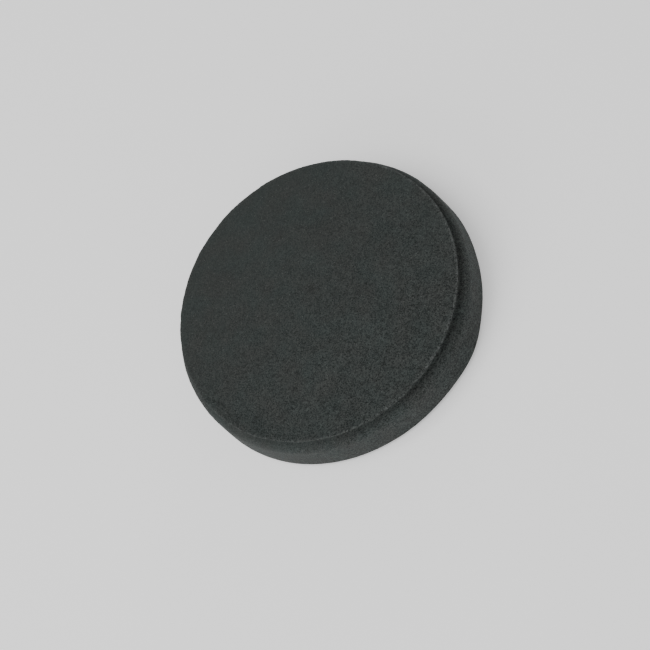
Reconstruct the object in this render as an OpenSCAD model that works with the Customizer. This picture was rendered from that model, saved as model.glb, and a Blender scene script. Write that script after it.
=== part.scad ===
// Round foam polishing pad for a machine polisher, with a hook-and-loop back.
// It lies on its loop face with the working face up. The origin is the centre of the loop face,
// +Z runs along the pad's axis, and all sizes are in millimetres.

/* [Foam disc] */
// Widest diameter of the foam, which its side wall holds down to the back
pad_d = 150; // [75:1:230]
// Thickness of the foam disc
foam_h = 23.8; // [14:0.2:50]
// How far the rim of the working face stands in from the side wall
rim_step = 2.9; // [1.5:0.1:5]
// Radius of the rounded rim round the working face
rim_round = 0.45; // [0.3:0.05:1.2]
// Radius of the groove that runs round the side just below the rim
cove_r = 2; // [1:0.1:3]
// How far the groove cuts in behind the rim
undercut = 1.2; // [0.2:0.05:1.8]
// Depth below the working face at which the side wall reaches its full width
shoulder_h = 9; // [6:0.1:13]
// Radius of the rounded edge at the back of the foam
back_round = 1; // [0.2:0.1:2.5]

/* [Hook-and-loop back] */
// How far the back stands in from the edge of the foam
back_inset = 4; // [0:0.5:12]
// Thickness of the adhesive film between the foam and the loop fabric
film_h = 0.2; // [0.1:0.05:0.6]
// Thickness of the knitted ground of the loop fabric
ground_h = 0.4; // [0.2:0.1:1]
// Height of the loop pile that a backing plate's hooks catch
pile_h = 1; // [0.6:0.1:3]

/* [Hidden] */
$fn = 96;

pad_r = pad_d / 2;
face_r = pad_r - rim_step;
back_r = pad_r - back_inset;

// The layers stack up from the loop face.
ground_z = pile_h;
film_z = ground_z + ground_h;
foam_z = film_z + film_h;

// Arcs that touch are worked out to a whole step, on the side on which they cross and don't part.
arc_step = 0.001;

// The side of the foam is four arcs and a straight wall, and each arc runs smoothly into the next:
// the rounded rim, the groove under it, the shoulder, and the rounded back edge.
// The groove touches the rim's arc, which sets how deep below the face its centre lies.
groove_drop = sqrt(undercut * (2 * (cove_r + rim_round) - undercut));
cove_x = face_r - undercut + cove_r;
cove_depth = rim_round + floor(groove_drop / arc_step) * arc_step;
cove_z = foam_h - cove_depth;

// The shoulder touches both the groove and the straight wall, which sets its radius.
cove_to_wall = pad_r - cove_x;
cove_to_full = shoulder_h - cove_depth;
touching_r = (pow(cove_to_wall, 2) + pow(cove_to_full, 2) - pow(cove_r, 2))
    / (2 * (cove_r + cove_to_wall));
shoulder_r = ceil(touching_r / arc_step) * arc_step;
shoulder_x = pad_r - shoulder_r;
shoulder_z = foam_h - shoulder_h;

// A layer of the back: a flat disc from height z up
module back_layer(z, h) {
    translate([0, 0, z]) cylinder(r = back_r, h = h);
}

// What the rounded rim and the shoulder leave outside them, on the outer side of the line that
// joins the centres of their arcs by way of the centre of the groove's arc
module outside_of_rim_and_shoulder() {
    bead_x = face_r - rim_round;
    bead_z = foam_h - rim_round;
    difference() {
        polygon([
            [bead_x, bead_z],
            [bead_x, foam_h + 1],
            [pad_r + 1, foam_h + 1],
            [pad_r + 1, shoulder_z],
            [shoulder_x, shoulder_z],
            [cove_x, cove_z]
        ]);
        translate([bead_x, bead_z]) circle(r = rim_round);
        translate([shoulder_x, shoulder_z]) circle(r = shoulder_r);
    }
}

// What the rounded back edge leaves outside it
module outside_of_back_edge() {
    difference() {
        translate([pad_r - back_round, -1]) square([back_round + 1, back_round + 1]);
        translate([pad_r - back_round, back_round]) circle(r = back_round);
    }
}

// Half of the foam's cross-section: x is the distance from the axis, y the height above its back
module foam_outline() {
    difference() {
        square([pad_r, foam_h]);
        outside_of_rim_and_shoulder();
        translate([cove_x, cove_z]) circle(r = cove_r);
        outside_of_back_edge();
    }
}

module foam_disc() {
    color([0.216, 0.231, 0.227])
        translate([0, 0, foam_z]) rotate_extrude() foam_outline();
}

module adhesive_film() {
    color([0.62, 0.6, 0.54]) back_layer(film_z, film_h);
}

module loop_ground() {
    color([0.1, 0.1, 0.1]) back_layer(ground_z, ground_h);
}

module loop_pile() {
    color([0.16, 0.16, 0.17]) back_layer(0, pile_h);
}

foam_disc();
adhesive_film();
loop_ground();
loop_pile();
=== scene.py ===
import bpy
import math
import numpy as np
from mathutils import Matrix, Vector


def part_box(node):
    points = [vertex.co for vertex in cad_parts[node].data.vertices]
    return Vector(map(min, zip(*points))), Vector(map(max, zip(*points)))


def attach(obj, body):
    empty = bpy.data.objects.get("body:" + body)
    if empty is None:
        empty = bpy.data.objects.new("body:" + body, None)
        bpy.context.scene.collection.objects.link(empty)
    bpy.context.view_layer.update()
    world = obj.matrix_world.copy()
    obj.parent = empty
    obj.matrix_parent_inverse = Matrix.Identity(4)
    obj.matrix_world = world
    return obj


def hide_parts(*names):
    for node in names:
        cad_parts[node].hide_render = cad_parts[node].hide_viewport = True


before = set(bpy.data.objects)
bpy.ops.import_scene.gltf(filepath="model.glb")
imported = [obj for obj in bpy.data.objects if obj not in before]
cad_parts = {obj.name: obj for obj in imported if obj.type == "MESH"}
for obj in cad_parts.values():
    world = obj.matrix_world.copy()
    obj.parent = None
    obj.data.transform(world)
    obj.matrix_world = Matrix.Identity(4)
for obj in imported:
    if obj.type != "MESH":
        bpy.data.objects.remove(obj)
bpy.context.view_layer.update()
mm = 0.001  # metres in a millimetre
print("frame loaded:", ", ".join(sorted(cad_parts)))


latticeStart = 1000.0  # where the pad's middle lies on the lattices of the random numbers


# Smooth random values from -1 to 1: random numbers on a cubic lattice of the given size,
# blended between the lattice's corners with the curve 3t^2 - 2t^3.
def softNoise(points, size, seed):
    count = 64  # lattice corners each way before the numbers repeat
    table = np.random.default_rng(seed).uniform(-1, 1, (count, count, count))
    place = points / size + latticeStart
    corner = np.floor(place).astype(int)
    share = place - corner
    share = share * share * (3 - 2 * share)
    total = np.zeros(len(points))
    for dx in (0, 1):
        for dy in (0, 1):
            for dz in (0, 1):
                weight = (
                    np.where(dx, share[:, 0], 1 - share[:, 0])
                    * np.where(dy, share[:, 1], 1 - share[:, 1])
                    * np.where(dz, share[:, 2], 1 - share[:, 2])
                )
                i, j, k = ((corner + (dx, dy, dz)) % count).T
                total += weight * table[i, j, k]
    return total


# How far each point is from the nearest of many scattered centres, one to each cube of the
# given size, as a share of that size.
def cellNoise(points, size, seed):
    count = 32  # cubes each way before the centres repeat
    jitter = np.random.default_rng(seed).uniform(0, 1, (count, count, count, 3))
    place = points / size + latticeStart
    corner = np.floor(place).astype(int)
    nearest = np.full(len(points), np.inf)
    for dx in (-1, 0, 1):
        for dy in (-1, 0, 1):
            for dz in (-1, 0, 1):
                cell = corner + (dx, dy, dz)
                i, j, k = (cell % count).T
                gap = cell + jitter[i, j, k] - place
                nearest = np.minimum(nearest, np.sqrt((gap * gap).sum(1)))
    return nearest


# Smooth random values added up. Each wave is (millimetres across, its height, its seed).
def wavesAt(points, waves):
    return sum(height * softNoise(points, size, seed) for size, height, seed in waves)


# A bump that falls off to both sides: e to the power of minus the square of distance over reach.
def bell(distance, reach):
    return np.exp(-((distance / reach) ** 2))


# How many degrees an angle is past another, from -180 to 180.
def degreesPast(angle, start):
    return (angle - start + 180) % 360 - 180


# A mesh object at the origin from corner places in millimetres and lists of faces.
def makePiece(name, places, faceLists, smooth=True):
    mesh = bpy.data.meshes.new(name)
    faces = [face for block in faceLists for face in np.asarray(block).tolist()]
    mesh.from_pydata((np.asarray(places) * mm).tolist(), [], faces)
    mesh.polygons.foreach_set("use_smooth", np.full(len(mesh.polygons), smooth))
    mesh.update()
    piece = bpy.data.objects.new(name, mesh)
    bpy.context.scene.collection.objects.link(piece)
    return piece


# A number for each corner of a piece, which its material can read.
def addNumber(piece, name, values):
    layer = piece.data.attributes.new(name, "FLOAT", "POINT")
    layer.data.foreach_set("value", np.asarray(values, np.float32))


# A round patch of even squares: a square grid from -1 to 1 each way is pressed into a disc of
# radius 1. A point's distance from the middle is the larger of its two coordinates, and its
# angle is an eighth of a turn times the smaller over the larger. Gives x and y on the grid and
# the grid places of its outer ring, counter-clockwise from minus an eighth of a turn.
def discGrid(count):
    line = np.linspace(-1, 1, count + 1)
    a, b = np.meshgrid(line, line, indexing="ij")
    wide = np.abs(a) >= np.abs(b)
    radius = np.where(wide, a, b)
    other = np.where(wide, b, a)
    safe = np.where(radius == 0, 1, radius)
    lean = math.pi / 4 * other / safe
    turn = np.where(wide, lean, math.pi / 2 - lean)
    x, y = radius * np.cos(turn), radius * np.sin(turn)
    number = np.arange((count + 1) ** 2).reshape(count + 1, count + 1)
    ring = np.concatenate([number[-1, :-1], number[:0:-1, -1], number[0, :0:-1], number[:-1, 0]])
    corners = [number[:-1, :-1], number[1:, :-1], number[1:, 1:], number[:-1, 1:]]
    return x.ravel(), y.ravel(), ring, np.stack(corners, -1).reshape(-1, 4)


# Squares that join each ring of corners to the next, where a row of rings is one ring's corners.
def bandFaces(rings):
    after = np.roll(rings, -1, axis=1)
    return np.stack([rings[:-1], rings[1:], after[1:], after[:-1]], -1).reshape(-1, 4)


# Triangles that close a ring of corners with one corner in its middle, looking down.
def fanFaces(ring, middle):
    return np.stack([ring, np.full(len(ring), middle), np.roll(ring, -1)], 1)


# Even steps along an arc, at least three: the centre plus the radius times the cosine and sine of
# an angle that goes from first to last, in degrees. Gives the way that each step looks as well.
def arcLine(centre, radius, first, last, step):
    count = max(3, round(abs(math.radians(last - first)) * radius / step))
    turn = np.radians(np.linspace(first, last, count + 1))
    out = np.stack([np.cos(turn), np.sin(turn)], 1)
    inward = -1 if last > first else 1
    return np.asarray(centre) + radius * out, out * inward


# Even steps along a straight line from start to end, with the way that its outer side looks.
def straightLine(start, end, looks, step):
    count = max(1, round(math.dist(start, end) / step))
    share = np.linspace(0, 1, count + 1)[:, None]
    places = np.asarray(start) * (1 - share) + np.asarray(end) * share
    return places, np.tile(looks, (count + 1, 1))


# Joins lines end to end and drops each corner that two of them share.
def joinLines(lines):
    places = [line[0] if n == 0 else line[0][1:] for n, line in enumerate(lines)]
    looks = [line[1] if n == 0 else line[1][1:] for n, line in enumerate(lines)]
    return np.concatenate(places), np.concatenate(looks)


# Carries a line of radii and heights round the axis: each ring's corner is its radius along a
# direction, at its height. Gives the corners, ring after ring.
def carryRound(line, around):
    rings = np.empty((len(line), len(around), 3))
    rings[:, :, :2] = line[:, None, :1] * around[None]
    rings[:, :, 2] = line[:, None, 1]
    return rings


# A new material with its Principled shader and two helpers that add and link nodes.
def newMaterial(name):
    material = bpy.data.materials.new(name)
    material.use_nodes = True
    tree = material.node_tree
    shader = tree.nodes["Principled BSDF"]

    def add(kind, inputs=None, **settings):
        node = tree.nodes.new(kind)
        for key, value in settings.items():
            setattr(node, key, value)
        for key, value in (inputs or {}).items():
            if isinstance(value, bpy.types.NodeSocket):
                tree.links.new(value, node.inputs[key])
            else:
                node.inputs[key].default_value = value
        return node

    def link(socket, key):
        tree.links.new(socket, shader.inputs[key])

    return material, shader, add, link


# Maps a number from one range to another.
def remap(add, socket, fromLow, fromHigh, toLow, toHigh):
    inputs = {"Value": socket, "From Min": fromLow, "From Max": fromHigh}
    inputs.update({"To Min": toLow, "To Max": toHigh})
    return add("ShaderNodeMapRange", inputs).outputs["Result"]


# One step of arithmetic on two numbers.
def mathNode(add, operation, first, second=0.0):
    return add("ShaderNodeMath", {0: first, 1: second}, operation=operation).outputs[0]


# Adds numbers up, each times its own share.
def blendNumbers(add, pairs):
    total = None
    for socket, share in pairs:
        part = mathNode(add, "MULTIPLY", socket, share)
        total = part if total is None else mathNode(add, "ADD", total, part)
    return total


# The first colour where the share is 0, and the second where it is 1.
def mixColour(add, share, first, second):
    node = add("ShaderNodeMix", {"Factor": share, "A": first, "B": second}, data_type="RGBA")
    return node.outputs["Result"]


# Noise whose patches are the given millimetres across. The middle range of its values, where
# most of them lie, is spread over the range from low to high.
def noiseAt(add, place, size, detail=2.0, low=0.0, high=1.0, middle=(0.3, 0.7)):
    node = add("ShaderNodeTexNoise", {"Vector": place, "Scale": 1 / (size * mm), "Detail": detail})
    return remap(add, node.outputs["Fac"], *middle, low, high)


camera = {
    "elevation": 56.0,  # degrees above the working face
    "azimuth": -90.0,  # degrees round +Z from +X to the side the camera stands on
    "roll": 47.6,  # degrees that the pad's axis leans to the left in the frame
    "distance": 2.6,  # metres from the middle of the working face
    "frameWidth": 0.3073,  # metres across the frame at that distance
    "faceRight": -0.00364,  # metres from the middle of the frame to the middle of the face
    "faceUp": 0.0121,
    "sensorWidth": 36,  # millimetres
}


# The camera looks along the line from azimuth and elevation, turned about that line by roll.
def makeCamera():
    turn, rise, roll = (math.radians(camera[k]) for k in ("azimuth", "elevation", "roll"))
    level = math.cos(rise)
    toCamera = Vector((level * math.cos(turn), level * math.sin(turn), math.sin(rise)))
    levelRight = Vector((-math.sin(turn), math.cos(turn), 0))
    levelUp = toCamera.cross(levelRight)
    right = levelRight * math.cos(roll) - levelUp * math.sin(roll)
    up = levelRight * math.sin(roll) + levelUp * math.cos(roll)
    face = Vector((0, 0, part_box("foam_disc")[1].z))
    aim = face - right * camera["faceRight"] - up * camera["faceUp"]
    data = bpy.data.cameras.new("camera")
    data.sensor_width = camera["sensorWidth"]
    data.lens = data.sensor_width * camera["distance"] / camera["frameWidth"]
    data.clip_start, data.clip_end = 0.05, 20
    view = bpy.data.objects.new("camera", data)
    bpy.context.scene.collection.objects.link(view)
    axes = Matrix((right, up, toCamera)).transposed().to_4x4()
    view.matrix_world = Matrix.Translation(aim + toCamera * camera["distance"]) @ axes
    bpy.context.scene.camera = view


makeCamera()


studio = {
    "floorRadius": 7.0,  # metres to where the floor starts to turn up
    "floorCurve": 0.6,  # radius of the curve in which its edge turns up
    "floorCorners": 96,  # corners round it
    "floorColour": (0.86, 0.86, 0.86, 1),
    "floorGlow": 0.5,
    "skyColour": (1.0, 1.0, 1.0, 1),
    "skyStrength": 0.27,
    # soft lamps that face the origin: (place, width, height, watts)
    "lamps": {
        "topSoft": ((-0.6, 0.05, 1.5), 1.2, 1.2, 18.2),
        "leftWindow": ((-1.3, -0.35, 0.65), 0.9, 0.5, 5.3),
        "rightEdge": ((1.1, 0.85, 0.3), 0.6, 0.25, 3.0),
        "frontFill": ((-0.3, -1.3, 0.3), 0.6, 0.25, 1.5),
    },
}


# The floor is a flat disc whose edge turns up in a quarter of a circle, so that no far edge shows.
# Along the curve, it is the curve's radius times the sine of t further out, and times one less
# the cosine of t higher up. Two flat rings inside the curve keep the disc's shading flat.
def makeFloor():
    radius, curve, count = studio["floorRadius"], studio["floorCurve"], studio["floorCorners"]
    turn = 2 * math.pi * np.arange(count) / count
    t = np.linspace(0, math.pi / 2, 17)
    turnedUp = np.stack([radius + curve * np.sin(t), curve * (1 - np.cos(t))], 1)
    line = np.concatenate([[(0.5 * radius, 0), (0.95 * radius, 0)], turnedUp])
    rings = carryRound(line, np.stack([np.cos(turn), np.sin(turn)], 1))
    numbers = np.arange(len(line) * count).reshape(len(line), count)
    return makePiece("floor", rings.reshape(-1, 3) / mm, [bandFaces(numbers), numbers[:1]])


def makeStudio():
    floor = makeFloor()
    material, shader, add, link = newMaterial("paleFloor")
    shader.inputs["Base Color"].default_value = studio["floorColour"]
    shader.inputs["Roughness"].default_value = 0.9
    shader.inputs["Emission Color"].default_value = (1, 1, 1, 1)
    shader.inputs["Emission Strength"].default_value = studio["floorGlow"]
    floor.data.materials.append(material)
    sky = bpy.data.worlds.new("studioSky")
    sky.use_nodes = True
    background = sky.node_tree.nodes["Background"]
    background.inputs["Color"].default_value = studio["skyColour"]
    background.inputs["Strength"].default_value = studio["skyStrength"]
    bpy.context.scene.world = sky
    for name, (place, width, height, watts) in studio["lamps"].items():
        data = bpy.data.lights.new(name, "AREA")
        data.shape = "RECTANGLE"
        data.size, data.size_y, data.energy = width, height, watts
        lamp = bpy.data.objects.new(name, data)
        bpy.context.scene.collection.objects.link(lamp)
        lamp.location = place
        lamp.rotation_euler = (-Vector(place)).to_track_quat("-Z", "Y").to_euler()


makeStudio()
print("camera, floor and lamps are in place")


foam = {
    # its form, in millimetres
    "gridCount": 208,  # squares across the working face
    "step": 0.56,  # between rings on the side
    "rimStep": 2.9,  # how far the face's rim stands in from the side wall
    "rimRound": 0.45,  # radius of the rim
    "groove": 2.0,  # radius of the groove under the rim
    "undercut": 1.2,  # how far the groove cuts in behind the rim
    "shoulderDepth": 9.0,  # how far below the face the side reaches its full width
    "backRound": 1.0,  # radius of the edge at the back
    "borderWidth": 1.8,  # band inside the rim that rolls down a little
    "borderDrop": 0.16,  # how far it rolls down
    "borderFade": 2.5,  # depth below the face at which the roll has died out
    "underFilm": 69.0,  # radius at which the back is closed, under the adhesive film
    # where the side bulges or sinks: (degrees round from +X, spread, millimetres at the back)
    "swells": [(-90, 60, 0.4), (-66, 12, 1.5), (-118, 34, -0.9), (-28, 12, -0.5), (148, 14, 1.5)],
    # unevenness of cut foam: (millimetres across, height, seed)
    "waves": [(21, 0.10, 1), (7, 0.06, 2), (2.4, 0.06, 3)],
    "cellBumps": (1.1, 0.12, 4),
    "rimTears": [(1.3, 0.10, 5), (9, 0.12, 6)],
    "evenBack": 1.2,  # height over the back by which the unevenness has grown to its full size
    "rimSpot": (0.3, 0.2),  # how far in from the rim, and how far down, it is most uneven
    "rimReach": 0.85,  # how far round that spot the tears reach
    "rimHighlightReach": 0.68,  # how far round it the rim carries its painted highlight
    "rimHighlightShare": (0.66, 0.34),  # how strong the rim's painted highlight is all round, and how much more on one side
    "rimHighlightSide": -40,  # degrees round from +X to where the rim's painted highlight is strongest
    "grooveSpot": (2.0, 1.3),  # how far down the groove's painted shade is deepest, and how far it reaches
    "grooveFrom": (70, 71.5),  # radius at which the groove's painted shade starts, and where it is whole
    # its look
    "cell": 0.5,  # millimetres across one cell of the foam
    "bend": (0.3, 0.2),  # cells in one bend of their rows, and millimetres that they are bent by
    "wallWidth": 0.2,  # how far a cell's wall reaches into it, as a share of the cell
    "cellShare": 0.5,  # how much each cell's own number adds to the tone
    "wallShare": 0.3,  # how much the cell walls add to it
    # what else adds to it: (millimetres across, share)
    "grain": (0.24, 0.25),
    "broadTone": (17, 0.04),
    "patchTone": (2.2, 0.05),
    # the tone's two ends, and what lies over them
    "darkPore": (0.0105, 0.0125, 0.0118, 1),
    "paleWall": (0.0685, 0.0783, 0.0742, 1),
    # the pale colour of the rim's painted highlight
    "paintedRimHighlight": (0.120, 0.128, 0.124, 1),
    "glint": (0.30, 0.32, 0.31, 1),  # a cut cell wall that catches the light
    "glintFrom": (0.955, 0.965),  # of a cell's own number from 0 to 1: none below, all above
    "glintWidth": (0.1, 0.3),  # of the cell: all of it within, and nothing outside
    "hueSize": 14,  # millimetres across a warmer or cooler place
    "warmTint": (1.035, 0.99, 0.985, 1),
    "coolTint": (0.965, 1.01, 1.01, 1),
    "wornAcross": 60,  # millimetres to each side of the middle over which the wear grows
    "worn": (1.65, 0.46),  # strength of the cells' contrast on the -Y side and on the worn +Y side
    "paintedGrooveShade": 0.26,  # painted shade: how much darker the colour is made in the groove under the rim
    # where the groove gets less painted shade: degrees round from +X, spread, share of that shade
    # that is missing
    "lessGrooveShade": (-105, 42, 1.0),
    # painted shade on the face next to the rim: degrees round, spread, share of the groove's
    # painted shade, radius at which it starts, and where it is whole
    "paintedBorderShade": (-150, 42, 0.55, 60, 70),
    # where the side's cells show less: degrees round, spread, share of their contrast that is lost
    "calmSide": (-165, 45, 0.55),
    "rimHighlightStretch": 1.6,  # millimetres along one stretch of the rim's broken painted highlight
    "roughness": (1.0, 0.82),  # of dark pores and of pale walls
    "relief": 0.2,  # millimetres that the cells' bumps are high
}


# The foam's side as one line of arcs from the working face to its back, in radius and height,
# each arc touching the next: rim, groove, shoulder, wall, back edge. The groove's centre lies as
# far below the rim's as makes the two arcs touch, and the shoulder's radius is the one with which
# it touches both the groove and the wall.
def foamSideLine(padRadius, bottom, top):
    f, step = foam, foam["step"]
    faceRadius = padRadius - f["rimStep"]
    rim = (faceRadius - f["rimRound"], top - f["rimRound"])
    drop = math.sqrt(f["undercut"] * (2 * (f["groove"] + f["rimRound"]) - f["undercut"]))
    groove = (faceRadius - f["undercut"] + f["groove"], rim[1] - drop)
    toWall = padRadius - groove[0]
    toFull = f["shoulderDepth"] - (top - groove[1])
    shoulderRadius = (toWall**2 + toFull**2 - f["groove"] ** 2) / (2 * (f["groove"] + toWall))
    shoulder = (padRadius - shoulderRadius, top - f["shoulderDepth"])
    rimTurn = math.degrees(math.atan2(groove[1] - rim[1], groove[0] - rim[0]))
    shoulderTurn = math.degrees(math.atan2(groove[1] - shoulder[1], groove[0] - shoulder[0]))
    back = (padRadius - f["backRound"], bottom + f["backRound"])
    return joinLines([
        straightLine((rim[0] - f["borderWidth"], top), (rim[0], top), (0, 1), step),
        arcLine(rim, f["rimRound"], 90, rimTurn, 0.3 * step),
        arcLine(groove, f["groove"], 180 + rimTurn, 180 + shoulderTurn, 0.8 * step),
        arcLine(shoulder, shoulderRadius, shoulderTurn, 0, step),
        straightLine((padRadius, shoulder[1]), (padRadius, back[1]), (1, 0), step),
        arcLine(back, f["backRound"], 0, -90, 0.7 * step),
        straightLine((back[0], bottom), (f["underFilm"], bottom), (0, -1), 2 * step),
    ])


# The foam is a round grid for the working face, the side's line carried round the axis, and a fan
# that closes its back. Then the border rolls down by the square of the way across it, the side
# swells by bells round the axis, and every corner moves along the way it looks by the waves.
def makeFoam():
    low, high = (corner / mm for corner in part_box("foam_disc"))
    padRadius, bottom, top = (high.x - low.x) / 2, low.z, high.z
    line, looks = foamSideLine(padRadius, bottom, top)
    faceX, faceY, ring, squares = discGrid(foam["gridCount"])
    face = np.stack([faceX * line[0, 0], faceY * line[0, 0], np.full(len(faceX), top)], 1)
    turn = np.arctan2(faceY[ring], faceX[ring])
    around = np.stack([np.cos(turn), np.sin(turn)], 1)
    side = carryRound(line[1:], around)
    sideLooks = carryRound(looks[1:], around)
    places = np.concatenate([face, side.reshape(-1, 3), [(0, 0, bottom)]])
    faceLooks = np.tile((0, 0, 1), (len(face), 1))
    outward = np.concatenate([faceLooks, sideLooks.reshape(-1, 3), [(0, 0, -1)]])
    sideNumbers = len(face) + np.arange(side[..., 0].size).reshape(len(side), -1)
    rings = np.concatenate([ring[None], sideNumbers])

    # Where each corner lies on the pad, for what follows.
    radius = np.hypot(places[:, 0], places[:, 1])
    depth = top - places[:, 2]
    angle = np.degrees(np.arctan2(places[:, 1], places[:, 0]))
    faceRadius = padRadius - foam["rimStep"]
    spotIn, spotDown = foam["rimSpot"]
    fromRim = np.hypot(radius - faceRadius + spotIn, depth - spotDown)
    # Painted shade: darkest in the groove under the rim, less on one side of it, and on the face
    # next to the rim on one side.
    grooveDown, grooveReach = foam["grooveSpot"]
    grooveStart, grooveWhole = foam["grooveFrom"]
    cutIn = np.clip((radius - grooveStart) / (grooveWhole - grooveStart), 0, 1)
    inGroove = bell(depth - grooveDown, grooveReach) * cutIn
    leastShadeAt, leastShadeSpread, missing = foam["lessGrooveShade"]
    inGroove *= 1 - missing * bell(degreesPast(angle, leastShadeAt), leastShadeSpread)
    free = np.clip((places[:, 2] - bottom) / foam["evenBack"], 0, 1)
    onSide = np.clip(depth, 0, 1)
    darkest, darkSpread, darkShare, borderFrom, borderWhole = foam["paintedBorderShade"]
    nearRim = np.clip((radius - borderFrom) / (borderWhole - borderFrom), 0, 1) * (1 - onSide)
    paintedShade = inGroove + darkShare * nearRim * bell(degreesPast(angle, darkest), darkSpread)
    calmest, calmSpread, calmShare = foam["calmSide"]
    calm = calmShare * onSide * bell(degreesPast(angle, calmest), calmSpread)

    # The border of the face rolls down a little towards the rim.
    borderStart = faceRadius - foam["rimRound"] - foam["borderWidth"]
    rolled = np.clip((radius - borderStart) / foam["borderWidth"], 0, 1)
    fade = np.clip(1 - depth / foam["borderFade"], 0, 1)
    places[:, 2] -= foam["borderDrop"] * rolled**2 * fade

    # The side swells and sinks in places, from nothing at the rim to its most at the back.
    reach = np.clip(depth / (top - bottom), 0, 1) ** 1.3 * np.clip(radius / padRadius, 0, 1) ** 6
    swell = sum(amount * bell(degreesPast(angle, at), wide) for at, wide, amount in foam["swells"])
    places[:, :2] *= (1 + swell * reach / padRadius)[:, None]

    # Unevenness of cut foam: waves, cells, and a torn rim.
    cellSize, cellHeight, cellSeed = foam["cellBumps"]
    lift = wavesAt(places, foam["waves"])
    lift += cellHeight * (cellNoise(places, cellSize, cellSeed) - 0.5)
    lift += bell(fromRim, foam["rimReach"]) * wavesAt(places, foam["rimTears"])
    places += outward * (lift * free)[:, None]
    places[:, 2] = np.maximum(places[:, 2], bottom)

    fan = fanFaces(rings[-1], len(places) - 1)
    piece = makePiece("foamDisc", places, [squares, bandFaces(rings), fan])
    # The rim is painted paler, as a highlight, most strongly on one side.
    allRound, oneSide = foam["rimHighlightShare"]
    rimLitShare = allRound + oneSide * np.cos(np.radians(angle - foam["rimHighlightSide"]))
    addNumber(piece, "rimHighlightMask", bell(fromRim, foam["rimHighlightReach"]) * rimLitShare)
    addNumber(piece, "paintedShade", paintedShade)
    addNumber(piece, "calm", calm)
    return piece


def foamMaterial():
    material, shader, add, link = newMaterial("blackFoam")
    place = add("ShaderNodeTexCoord").outputs["Object"]
    scale = 1 / (foam["cell"] * mm)
    # Slightly bent space, so that the cells aren't all alike.
    bendRate, bendBy = foam["bend"]
    bend = add("ShaderNodeTexNoise", {"Vector": place, "Scale": bendRate * scale, "Detail": 1.0})
    bentInputs = {"Factor": bendBy * mm, "A": place, "B": bend.outputs["Color"]}
    bent = add("ShaderNodeMix", bentInputs, data_type="VECTOR").outputs["Result"]
    cellInputs = {"Vector": bent, "Scale": scale}
    cells = add("ShaderNodeTexVoronoi", cellInputs, feature="F1")
    walls = add("ShaderNodeTexVoronoi", cellInputs, feature="DISTANCE_TO_EDGE")
    lone = add("ShaderNodeSeparateColor", {"Color": cells.outputs["Color"]}).outputs["Red"]
    # Open cells are dark and the cut walls between them are paler; each cell has its own tone.
    wallShare = remap(add, walls.outputs["Distance"], 0.0, foam["wallWidth"], 1.0, 0.0)
    grain = noiseAt(add, place, foam["grain"][0])
    broad = noiseAt(add, place, foam["broadTone"][0], 3.0, low=-1.0)
    patch = noiseAt(add, place, foam["patchTone"][0], low=-1.0)
    tone = blendNumbers(add, [
        (lone, foam["cellShare"]), (wallShare, foam["wallShare"]), (grain, foam["grain"][1]),
        (broad, foam["broadTone"][1]), (patch, foam["patchTone"][1]),
    ])
    # The cells show more on one side, and the other side is worn smoother.
    across = add("ShaderNodeSeparateXYZ", {"Vector": place}).outputs["Y"]
    wornAcross = foam["wornAcross"] * mm
    contrast = remap(add, across, -wornAcross, wornAcross, *foam["worn"])
    calm = add("ShaderNodeAttribute", attribute_name="calm").outputs["Fac"]
    contrast = mathNode(add, "MULTIPLY", contrast, mathNode(add, "SUBTRACT", 1.0, calm))
    spread = mathNode(add, "MULTIPLY", mathNode(add, "SUBTRACT", tone, 0.5), contrast)
    tone = mathNode(add, "ADD", spread, 0.5)
    tone.node.use_clamp = True
    # Painted shade: the colour is darkened in the groove under the rim and on the face next to the
    # rim.
    paintedShade = add("ShaderNodeAttribute", attribute_name="paintedShade").outputs["Fac"]
    lit = mathNode(add, "SUBTRACT", 1.0, mathNode(add, "MULTIPLY", paintedShade, foam["paintedGrooveShade"]))
    tone = mathNode(add, "MULTIPLY", tone, lit)
    colour = mixColour(add, tone, foam["darkPore"], foam["paleWall"])
    # A few walls glint, and the foam is a little warmer in some places than in others.
    glintCell = remap(add, lone, *foam["glintFrom"], 0.0, 0.5)
    glintPlace = remap(add, cells.outputs["Distance"], *foam["glintWidth"], 1.0, 0.0)
    glints = mathNode(add, "MULTIPLY", glintCell, glintPlace)
    colour = mixColour(add, glints, colour, foam["glint"])
    hue = noiseAt(add, place, foam["hueSize"], middle=(0.35, 0.65))
    tint = mixColour(add, hue, foam["warmTint"], foam["coolTint"])
    tinted = {"Factor": 1.0, "A": colour, "B": tint}
    colour = add("ShaderNodeMix", tinted, data_type="RGBA", blend_type="MULTIPLY").outputs["Result"]
    # The rim is painted pale in broken stretches: a painted highlight.
    rimHighlight = add("ShaderNodeAttribute", attribute_name="rimHighlightMask").outputs["Fac"]
    broken = noiseAt(add, place, foam["rimHighlightStretch"], 3.0, 0.25, 1.3, middle=(0.38, 0.6))
    rimHighlightShare = mathNode(add, "MULTIPLY", rimHighlight, mathNode(add, "MULTIPLY", tone, broken))
    colour = mixColour(add, rimHighlightShare, colour, foam["paintedRimHighlight"])
    link(colour, "Base Color")
    link(remap(add, tone, 0.0, 1.0, *foam["roughness"]), "Roughness")
    height = blendNumbers(add, [(cells.outputs["Distance"], -0.8), (grain, 0.3), (lone, 0.5)])
    bumpInputs = {"Height": height, "Strength": 0.8, "Distance": foam["relief"] * mm}
    link(add("ShaderNodeBump", bumpInputs).outputs["Normal"], "Normal")
    shader.inputs["Specular IOR Level"].default_value = 0.2
    shader.inputs["Sheen Weight"].default_value = 0.05
    shader.inputs["Sheen Roughness"].default_value = 0.5
    return material


foamPiece = makeFoam()
foamPiece.data.materials.append(foamMaterial())
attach(foamPiece, "root")
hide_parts("foam_disc")
print("foam disc:", len(foamPiece.data.polygons), "faces")


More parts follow.
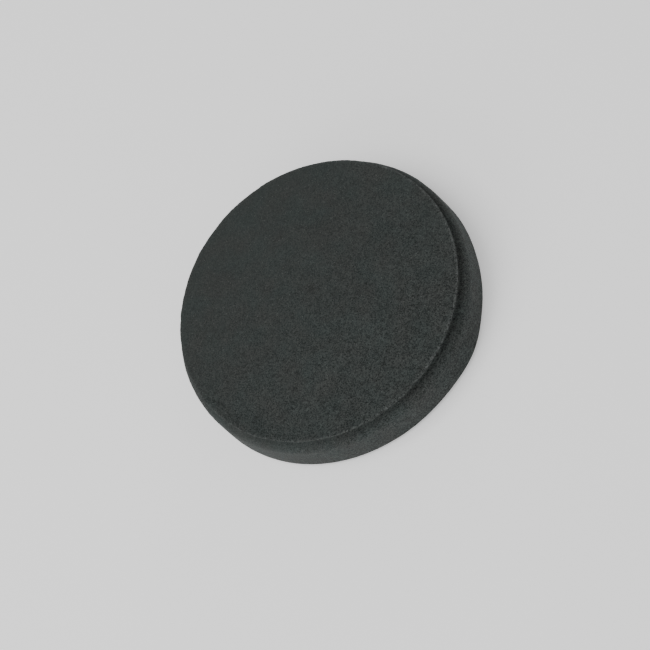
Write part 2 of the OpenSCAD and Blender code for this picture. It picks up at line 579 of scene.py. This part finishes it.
film = {
    "gridCount": 96,
    "edgeWander": 0.22,  # millimetres that its edge runs in and out
    "bead": 0.10,  # how far the glue's rounded edge stands out
    "ripple": (3.5, 0.012, 23),  # unevenness of its lower side: millimetres across, height, seed
    "cloudSize": 4.0,  # millimetres across a thick place
    "speckSize": 0.5,  # millimetres across a speck of dust
    "roughness": (0.22, 0.4),  # where the glue is thin and where it is thick
    "relief": 0.03,  # millimetres that its bumps are high
    "thinGlue": (0.56, 0.50, 0.38, 1),
    "thickGlue": (0.40, 0.33, 0.22, 1),
    "dust": (0.20, 0.19, 0.17, 1),
}


edgeBand = 0.1  # share of a layer's radius over which the wander of its edge grows


# A thin round layer: a lower face on an even grid, an edge of half an oval in section, and an
# upper face of rings that close on its middle. Gives its corners, their faces, and for each
# corner how near the edge it is, from 0 to 1.
def roundLayer(radius, low, high, gridCount, edgeWander, bead, seed):
    gridX, gridY, ring, squares = discGrid(gridCount)
    turn = np.arctan2(gridY[ring], gridX[ring])
    around = np.stack([np.cos(turn), np.sin(turn)], 1)
    middle, half = (low + high) / 2, (high - low) / 2
    slopes = np.radians(np.linspace(-90, 90, 7))[1:]
    edge = np.stack([radius - bead + bead * np.cos(slopes), middle + half * np.sin(slopes)], 1)
    cover = np.array([(radius * 0.9, high), (radius * 0.6, high)])
    line = np.concatenate([edge, cover])
    side = carryRound(line, around)
    lower = np.stack([gridX * (radius - bead), gridY * (radius - bead)], 1)
    places = np.concatenate([
        np.column_stack([lower, np.full(len(lower), low)]), side.reshape(-1, 3), [(0, 0, high)],
    ])
    numbers = len(lower) + np.arange(side[..., 0].size).reshape(len(side), -1)
    rings = np.concatenate([ring[None], numbers])
    # The cut edge wanders in and out: each corner moves along its radius, most at the edge.
    distance = np.hypot(places[:, 0], places[:, 1])
    outer = np.clip((distance / radius - (1 - edgeBand)) / edgeBand, 0, 1) ** 2
    spot = np.column_stack([places[:, :2], np.zeros(len(places))])
    wander = edgeWander * wavesAt(spot, [(9, 0.6, seed), (1.6, 0.4, seed + 1)])
    places[:, :2] *= (1 + wander * outer / radius)[:, None]
    top = fanFaces(rings[-1], len(places) - 1)[:, ::-1]
    return places, [squares[:, ::-1], bandFaces(rings)[:, ::-1], top], outer


# The glue film is a thin round layer with soft waves on its lower side.
def makeFilm():
    low, high = (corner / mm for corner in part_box("adhesive_film"))
    radius = (high.x - low.x) / 2
    places, faces, outer = roundLayer(
        radius, low.z, high.z, film["gridCount"], film["edgeWander"], film["bead"], 21,
    )
    below = places[:, 2] < (low.z + high.z) / 2
    places[:, 2] += below * wavesAt(places, [film["ripple"]])
    piece = makePiece("adhesiveFilm", places, faces)
    addNumber(piece, "nearEdge", outer)
    return piece


def filmMaterial():
    material, shader, add, link = newMaterial("clearGlue")
    place = add("ShaderNodeTexCoord").outputs["Object"]
    cloudy = noiseAt(add, place, film["cloudSize"], 3.0, middle=(0.35, 0.65))
    specks = noiseAt(add, place, film["speckSize"], middle=(0.6, 0.72))
    edge = add("ShaderNodeAttribute", attribute_name="nearEdge").outputs["Fac"]
    colour = mixColour(add, cloudy, film["thinGlue"], film["thickGlue"])
    dusty = mathNode(add, "MULTIPLY", specks, edge)
    link(mixColour(add, dusty, colour, film["dust"]), "Base Color")
    link(remap(add, cloudy, 0.0, 1.0, *film["roughness"]), "Roughness")
    height = blendNumbers(add, [(cloudy, 0.6), (specks, 0.4)])
    bumpInputs = {"Height": height, "Strength": 0.5, "Distance": film["relief"] * mm}
    link(add("ShaderNodeBump", bumpInputs).outputs["Normal"], "Normal")
    shader.inputs["Specular IOR Level"].default_value = 0.5
    return material


filmPiece = makeFilm()
filmPiece.data.materials.append(filmMaterial())
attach(filmPiece, "root")
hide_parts("adhesive_film")
print("adhesive film:", len(filmPiece.data.polygons), "faces")


ground = {
    "gridCount": 290,
    "edgeWander": 0.3,  # millimetres that its edge runs in and out
    "bead": 0.12,
    "walePitch": 1.35,  # millimetres between the knitted columns, which run along Y
    "coursePitch": 1.15,  # millimetres between the rows, which run along X
    "relief": 0.06,  # how deep the stitches are
    "fibre": 0.12,  # millimetres across a fibre's light and dark
    "fibreRelief": 0.08,  # millimetres that the fibres' bumps are high
    "broadTone": 12,  # millimetres across a lighter or darker place
    "roughness": (0.95, 0.75),  # of dark and of pale fibres
    "darkYarn": (0.009, 0.009, 0.010, 1),
    "paleYarn": (0.034, 0.034, 0.037, 1),
    "frayed": (0.060, 0.060, 0.064, 1),
}


# The ground cloth is a thin round layer with a knitted relief on its lower side: columns are a
# cosine across X, and each column's stitches are a cosine along Y, half a stitch further on in
# every second column.
def makeGround():
    low, high = (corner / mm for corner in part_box("loop_ground"))
    radius = (high.x - low.x) / 2
    places, faces, outer = roundLayer(
        radius, low.z, high.z, ground["gridCount"], ground["edgeWander"], ground["bead"], 31,
    )
    column = places[:, 0] / ground["walePitch"]
    odd = np.floor(column) % 2
    stitch = places[:, 1] / ground["coursePitch"] + 0.5 * odd
    knit = 0.6 * np.cos(2 * math.pi * column) + 0.4 * np.cos(2 * math.pi * stitch)
    below = places[:, 2] < (low.z + high.z) / 2
    places[:, 2] += below * ground["relief"] * (0.5 - 0.5 * knit)
    piece = makePiece("loopGroundCloth", places, faces)
    addNumber(piece, "nearEdge", outer)
    return piece


def groundMaterial():
    material, shader, add, link = newMaterial("knittedGround")
    place = add("ShaderNodeTexCoord").outputs["Object"]
    axes = add("ShaderNodeSeparateXYZ", {"Vector": place}).outputs
    # Stitches: a ridge for each column and a ripple for each row, as sines of X and Y.
    columnRate = 2 * math.pi / (ground["walePitch"] * mm)
    rowRate = 2 * math.pi / (ground["coursePitch"] * mm)
    columnWave = mathNode(add, "SINE", mathNode(add, "MULTIPLY", axes["X"], columnRate))
    rowWave = mathNode(add, "SINE", mathNode(add, "MULTIPLY", axes["Y"], rowRate))
    fibre = noiseAt(add, place, ground["fibre"])
    broad = noiseAt(add, place, ground["broadTone"])
    edge = add("ShaderNodeAttribute", attribute_name="nearEdge").outputs["Fac"]
    tone = blendNumbers(add, [
        (remap(add, columnWave, -1.0, 1.0, 0.0, 1.0), 0.3),
        (remap(add, rowWave, -1.0, 1.0, 0.0, 1.0), 0.2), (fibre, 0.35), (broad, 0.15),
    ])
    colour = mixColour(add, tone, ground["darkYarn"], ground["paleYarn"])
    frayedShare = mathNode(add, "MULTIPLY", edge, fibre)
    link(mixColour(add, frayedShare, colour, ground["frayed"]), "Base Color")
    link(remap(add, fibre, 0.0, 1.0, *ground["roughness"]), "Roughness")
    height = blendNumbers(add, [(columnWave, 0.3), (rowWave, 0.2), (fibre, 0.5)])
    bumpInputs = {"Height": height, "Strength": 0.7, "Distance": ground["fibreRelief"] * mm}
    link(add("ShaderNodeBump", bumpInputs).outputs["Normal"], "Normal")
    shader.inputs["Sheen Weight"].default_value = 0.15
    return material


groundPiece = makeGround()
groundPiece.data.materials.append(groundMaterial())
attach(groundPiece, "root")
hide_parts("loop_ground")
print("loop ground cloth:", len(groundPiece.data.polygons), "faces")


pile = {
    "parts": ["loopPileLeft", "loopPileMiddle", "loopPileRight"],
    "walePitch": 1.35,  # millimetres between loops across, as the columns they are knitted in
    "coursePitch": 1.15,  # millimetres between loops along a column
    "margin": 0.7,  # how far inside the cloth's edge the loops end
    "width": (0.75, 1.15),  # least and most distance between a loop's feet
    "height": (0.60, 0.82),  # least and most height of its thread's middle
    "lean": 0.35,  # how far a loop's top lies over, as a share of its height
    "thread": 0.11,  # radius of its thread
    "rings": 7,  # rings of corners along a loop
    "sides": 3,  # corners round its thread
    "rooted": 0.14,  # how deep its feet go into the ground cloth
    "scatter": (0.42, 0.28),  # how far a loop may stand from its place across and along
    "brushed": (14, 0.9, 42),  # how loops turn together: millimetres across, radians, seed
    "loose": 0.35,  # radians that a loop turns by itself
    "flattened": (20, 0.1, 43),  # where they are lower: millimetres across, share, seed
    "leaning": (11, 0.4, 44),  # where they lean more or less: millimetres across, share, seed
    "belly": 0.33,  # how much wider a loop is halfway than at its feet
    # millimetres across what makes its tone: strands, single loops, lighter and darker places
    "strandSize": 0.09,
    "loopTone": 0.9,
    "broadTone": 15,
    "roughness": (0.62, 0.4),  # of dark and of pale strands
    "relief": 0.03,  # millimetres that the strands' bumps are high
    "darkThread": (0.007, 0.007, 0.008, 1),
    "paleThread": (0.036, 0.036, 0.039, 1),
}


# The feet of the loops stand on a staggered grid inside the cloth's edge. A loop's thread follows
# an arch: half its width times the cosine of t along it, swollen by a third of the sine of t, and
# its height times the sine of t to the power 0.8 down, as t goes from 0 to half a turn. Each arch
# is turned about the vertical, and its top leans over sideways.
def pileLoops():
    p = pile
    low, high = (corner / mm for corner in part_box("loop_pile"))
    radius, top = (high.x - low.x) / 2 - p["margin"], high.z
    xs = np.arange(-radius, radius, p["walePitch"])
    ys = np.arange(-radius, radius, p["coursePitch"])
    gridX, gridY = np.meshgrid(xs, ys, indexing="ij")
    gridY = gridY + 0.5 * p["coursePitch"] * (np.arange(len(xs)) % 2)[:, None]
    rng = np.random.default_rng(41)
    spotX = gridX.ravel() + p["scatter"][0] * rng.uniform(-1, 1, gridX.size)
    spotY = gridY.ravel() + p["scatter"][1] * rng.uniform(-1, 1, gridX.size)
    inside = np.hypot(spotX, spotY) < radius
    spotX, spotY = spotX[inside], spotY[inside]
    count = len(spotX)
    spot = np.stack([spotX, spotY, np.zeros(count)], 1)
    turn = math.pi / 2 + wavesAt(spot, [p["brushed"]]) + rng.normal(0, p["loose"], count)
    width = rng.uniform(*p["width"], count)
    lower = np.maximum(wavesAt(spot, [p["flattened"]]), 0)
    height = rng.uniform(*p["height"], count) * (1 - lower)
    lean = p["lean"] * (1 - p["leaning"][1] + wavesAt(spot, [p["leaning"]])) * height

    t = np.linspace(0, math.pi, p["rings"])[None]
    along = 0.5 * width[:, None] * np.cos(t) * (1 + p["belly"] * np.sin(t))
    rise = np.sin(t) ** 0.8
    down = height[:, None] * rise
    across = lean[:, None] * rise
    cosine, sine = np.cos(turn)[:, None], np.sin(turn)[:, None]
    centre = np.stack([
        spotX[:, None] + along * cosine - across * sine,
        spotY[:, None] + along * sine + across * cosine,
        top - down + p["rooted"] * (1 - rise),
    ], -1)

    # A tube round each arch: corners at even turns in the plane across the thread.
    ahead = np.gradient(centre, axis=1)
    ahead /= np.linalg.norm(ahead, axis=2, keepdims=True)
    flank = np.stack([-sine, cosine, 0 * sine], -1)
    flank = flank - ahead * (flank * ahead).sum(2, keepdims=True)
    flank /= np.linalg.norm(flank, axis=2, keepdims=True)
    outward = np.cross(ahead, flank)
    v = 2 * math.pi * np.arange(p["sides"]) / p["sides"]
    tube = (
        centre[:, :, None]
        + p["thread"] * np.cos(v)[None, None, :, None] * outward[:, :, None]
        + p["thread"] * np.sin(v)[None, None, :, None] * flank[:, :, None]
    )
    return tube, spotX


# Faces of one tube of rings, open along its length and closed at both ends.
def tubeFaces(rings, sides):
    number = np.arange(rings * sides).reshape(rings, sides)
    return bandFaces(number), np.stack([number[0], number[-1, ::-1]])


# The loops in order from left to right, in as many pieces as there are names.
def makePile():
    tube, spotX = pileLoops()
    bands, ends = tubeFaces(pile["rings"], pile["sides"])
    order = np.argsort(spotX, kind="stable")
    pieces = []
    for name, chosen in zip(pile["parts"], np.array_split(order, len(pile["parts"]))):
        places = tube[chosen].reshape(-1, 3)
        start = (np.arange(len(chosen)) * pile["rings"] * pile["sides"])[:, None, None]
        faceLists = [(start + bands[None]).reshape(-1, 4), (start + ends[None]).reshape(-1, 3)]
        pieces.append(makePiece(name, places, faceLists))
    return pieces


def pileMaterial():
    material, shader, add, link = newMaterial("loopThread")
    place = add("ShaderNodeTexCoord").outputs["Object"]
    strand = noiseAt(add, place, pile["strandSize"])
    lone = noiseAt(add, place, pile["loopTone"], 1.0)
    broad = noiseAt(add, place, pile["broadTone"])
    tone = blendNumbers(add, [(strand, 0.35), (lone, 0.35), (broad, 0.3)])
    link(mixColour(add, tone, pile["darkThread"], pile["paleThread"]), "Base Color")
    link(remap(add, strand, 0.0, 1.0, *pile["roughness"]), "Roughness")
    bumpInputs = {"Height": strand, "Strength": 0.5, "Distance": pile["relief"] * mm}
    link(add("ShaderNodeBump", bumpInputs).outputs["Normal"], "Normal")
    shader.inputs["Specular IOR Level"].default_value = 0.4
    shader.inputs["Sheen Weight"].default_value = 0.1
    return material


pilePieces = makePile()
threadMaterial = pileMaterial()
for pilePiece in pilePieces:
    pilePiece.data.materials.append(threadMaterial)
    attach(pilePiece, "root")
    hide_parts("loop_pile")
print("loop pile:", sum(len(piece.data.polygons) for piece in pilePieces), "faces")
